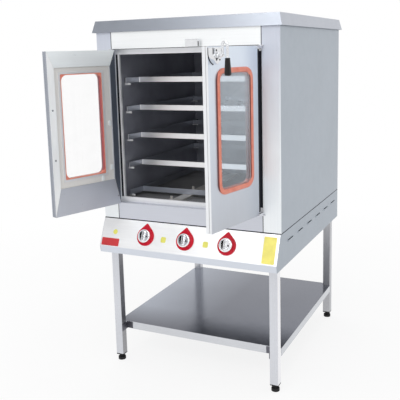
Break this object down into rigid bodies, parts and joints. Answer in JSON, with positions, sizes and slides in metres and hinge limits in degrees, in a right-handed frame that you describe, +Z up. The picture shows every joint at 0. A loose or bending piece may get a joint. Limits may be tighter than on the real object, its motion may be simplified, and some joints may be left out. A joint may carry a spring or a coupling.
{
  "type": "gas pastry oven",
  "caption": "Upright gas pastry oven on tube legs with two hinged glass-window doors, tray racks in a lined cavity, a sloped knob panel and an under-shelf.",
  "frame": {"origin": "on the floor, at the centre of the four feet", "axes": "+X to the oven's right seen from the front, +Y to the back, +Z up"},
  "size_m": [0.9488, 1.3863, 1.681],
  "materials": {
    "lid_steel": "satin",
    "side_steel": "satin",
    "front_steel": "satin",
    "handle_chrome": "polished",
    "cavity_steel": "dull",
    "front_frame_steel": "satin",
    "mineral_wool": "matt",
    "burner_steel": "heat dulled",
    "rack_steel": "satin",
    "bezel_red": "gloss",
    "gas_brass": "machined",
    "gas_pipe": "plain",
    "leg_steel": "satin",
    "insert_plastic": "matt",
    "shelf_steel": "satin",
    "screw_steel": "plain",
    "hinge_steel": "satin",
    "door_skin_steel": "satin",
    "door_pan_steel": "satin",
    "window_glass": "clear",
    "gasket_silicone": "satin",
    "glass_frame_steel": "satin",
    "grip_plastic": "gloss",
    "knob_chrome": "polished",
    "foot_rubber": "matt"
  },
  "bodies": {
    "cabinet": {"lid": "lid_steel", "side_panel_left": "side_steel", "side_panel_right": "side_steel", "back_panel": "side_steel", "column_left": "front_steel", "column_right": "front_steel", "upper_fascia": "front_steel", "lower_fascia": "front_steel", "door_strike": "handle_chrome", "cavity_liner": "cavity_steel", "cavity_front_frame": "front_frame_steel", "insulation": "mineral_wool", "cavity_floor": "cavity_steel", "burner_left": "burner_steel", "burner_right": "burner_steel", "rack_pegs": "rack_steel", "control_panel": "front_steel", "control_housing": "side_steel", "knob_bezels": "bezel_red", "gas_valves": "gas_brass", "gas_manifold": "gas_pipe", "gas_inlet": "gas_brass", "burner_feeds": "gas_pipe", "leg_front_left": "leg_steel", "leg_front_right": "leg_steel", "leg_rear_left": "leg_steel", "leg_rear_right": "leg_steel", "leg_inserts": "insert_plastic", "under_shelf": "shelf_steel", "shelf_brackets": "shelf_steel", "body_screws": "screw_steel", "hinge_brackets": "hinge_steel"},
    "door_left": {"door_left_outer_skin": "door_skin_steel", "door_left_inner_pan": "door_pan_steel", "door_left_glass": "window_glass", "door_left_gasket": "gasket_silicone", "door_left_glass_frame": "glass_frame_steel", "door_left_pivots": "hinge_steel"},
    "door_right": {"door_right_outer_skin": "door_skin_steel", "door_right_inner_pan": "door_pan_steel", "door_right_glass": "window_glass", "door_right_gasket": "gasket_silicone", "door_right_glass_frame": "glass_frame_steel", "door_right_pivots": "hinge_steel", "handle_rosette": "handle_chrome"},
    "door_handle": {"handle_lever": "handle_chrome", "handle_grip": "grip_plastic", "latch_tongue": "handle_chrome"},
    "knob_left": {"knob_left": "knob_chrome"},
    "knob_middle": {"knob_middle": "knob_chrome"},
    "knob_right": {"knob_right": "knob_chrome"},
    "rack_1": {"rack_1": "rack_steel"},
    "rack_2": {"rack_2": "rack_steel"},
    "rack_3": {"rack_3": "rack_steel"},
    "rack_4": {"rack_4": "rack_steel"},
    "rack_5": {"rack_5": "rack_steel"},
    "foot_front_left": {"foot_front_left": "foot_rubber"},
    "foot_front_right": {"foot_front_right": "foot_rubber"},
    "foot_rear_left": {"foot_rear_left": "foot_rubber"},
    "foot_rear_right": {"foot_rear_right": "foot_rubber"}
  },
  "joints": [
    {"name": "door_left_hinge", "type": "hinge", "parent": "cabinet", "child": "door_left", "pos_m": [-0.371, -0.491, 1.1865], "axis": [0, 0, -1], "range_deg": [-109, 61]},
    {"name": "door_right_hinge", "type": "hinge", "parent": "cabinet", "child": "door_right", "pos_m": [0.371, -0.491, 1.1865], "axis": [0, 0, 1], "range_deg": [-78.5, 91.5]},
    {"name": "handle_turn", "type": "hinge", "parent": "door_right", "child": "door_handle", "pos_m": [0.30401, -0.82025, 1.512], "axis": [0.9799, -0.1994, 0], "range_deg": [0, 90]},
    {"name": "knob_left_turn", "type": "hinge", "parent": "cabinet", "child": "knob_left", "pos_m": [-0.208, -0.51511, 0.6766], "axis": [0, -0.9084, 0.4181], "range_deg": [0, 210]},
    {"name": "knob_middle_turn", "type": "hinge", "parent": "cabinet", "child": "knob_middle", "pos_m": [0, -0.51511, 0.6766], "axis": [0, -0.9084, 0.4181], "range_deg": [0, 210]},
    {"name": "knob_right_turn", "type": "hinge", "parent": "cabinet", "child": "knob_right", "pos_m": [0.208, -0.51511, 0.6766], "axis": [0, -0.9084, 0.4181], "range_deg": [0, 210]},
    {"name": "rack_1_slide", "type": "slide", "parent": "cabinet", "child": "rack_1", "axis": [0, -1, 0], "range_m": [0, 0.06]},
    {"name": "rack_2_slide", "type": "slide", "parent": "cabinet", "child": "rack_2", "axis": [0, -1, 0], "range_m": [0, 0.06]},
    {"name": "rack_3_slide", "type": "slide", "parent": "cabinet", "child": "rack_3", "axis": [0, -1, 0], "range_m": [0, 0.06]},
    {"name": "rack_4_slide", "type": "slide", "parent": "cabinet", "child": "rack_4", "axis": [0, -1, 0], "range_m": [0, 0.06]},
    {"name": "rack_5_slide", "type": "slide", "parent": "cabinet", "child": "rack_5", "axis": [0, -1, 0], "range_m": [0, 0.06]},
    {"name": "foot_front_left_screw", "type": "slide", "parent": "cabinet", "child": "foot_front_left", "axis": [0, 0, -1], "range_m": [0, 0.02]},
    {"name": "foot_front_right_screw", "type": "slide", "parent": "cabinet", "child": "foot_front_right", "axis": [0, 0, -1], "range_m": [0, 0.02]},
    {"name": "foot_rear_left_screw", "type": "slide", "parent": "cabinet", "child": "foot_rear_left", "axis": [0, 0, -1], "range_m": [0, 0.02]},
    {"name": "foot_rear_right_screw", "type": "slide", "parent": "cabinet", "child": "foot_rear_right", "axis": [0, 0, -1], "range_m": [0, 0.02]}
  ]
}
